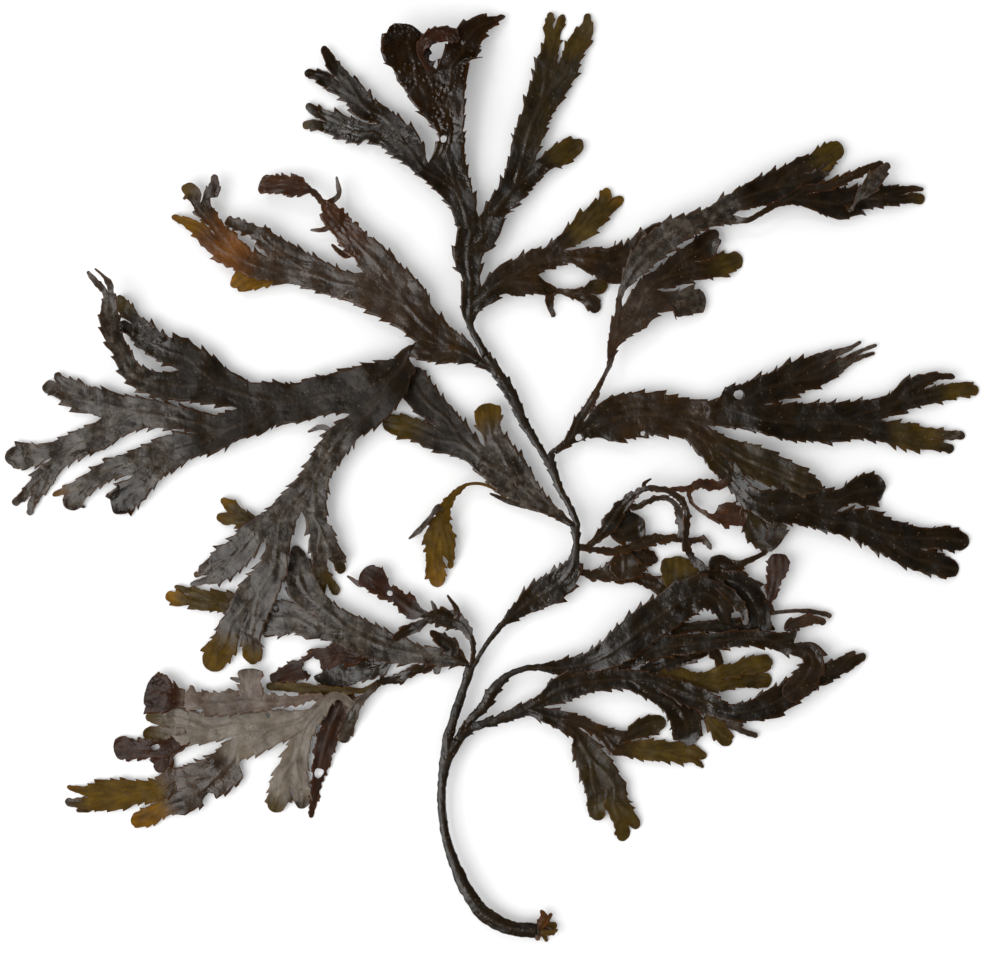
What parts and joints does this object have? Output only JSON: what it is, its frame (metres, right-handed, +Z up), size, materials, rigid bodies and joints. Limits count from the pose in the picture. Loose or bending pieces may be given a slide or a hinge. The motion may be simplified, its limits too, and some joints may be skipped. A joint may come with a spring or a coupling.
{
  "type": "dried serrated wrack frond",
  "caption": "dried brown seaweed frond with a curved stem, frayed holdfast and flat saw-edged blades that fork again and again to blunt tips, lying spread out",
  "frame": {"origin": "middle of the spread frond, on the surface it lies on", "axes": "+Z up through the flat frond, +X along the wider spread, the holdfast at -Y and the crown at +Y"},
  "size_m": [0.3908, 0.3728, 0.0206],
  "materials": {
    "dried_wrack": "satin, leathery, dark brown with thin olive tips"
  },
  "bodies": {
    "root": {"wrack": "dried_wrack"}
  },
  "joints": []
}
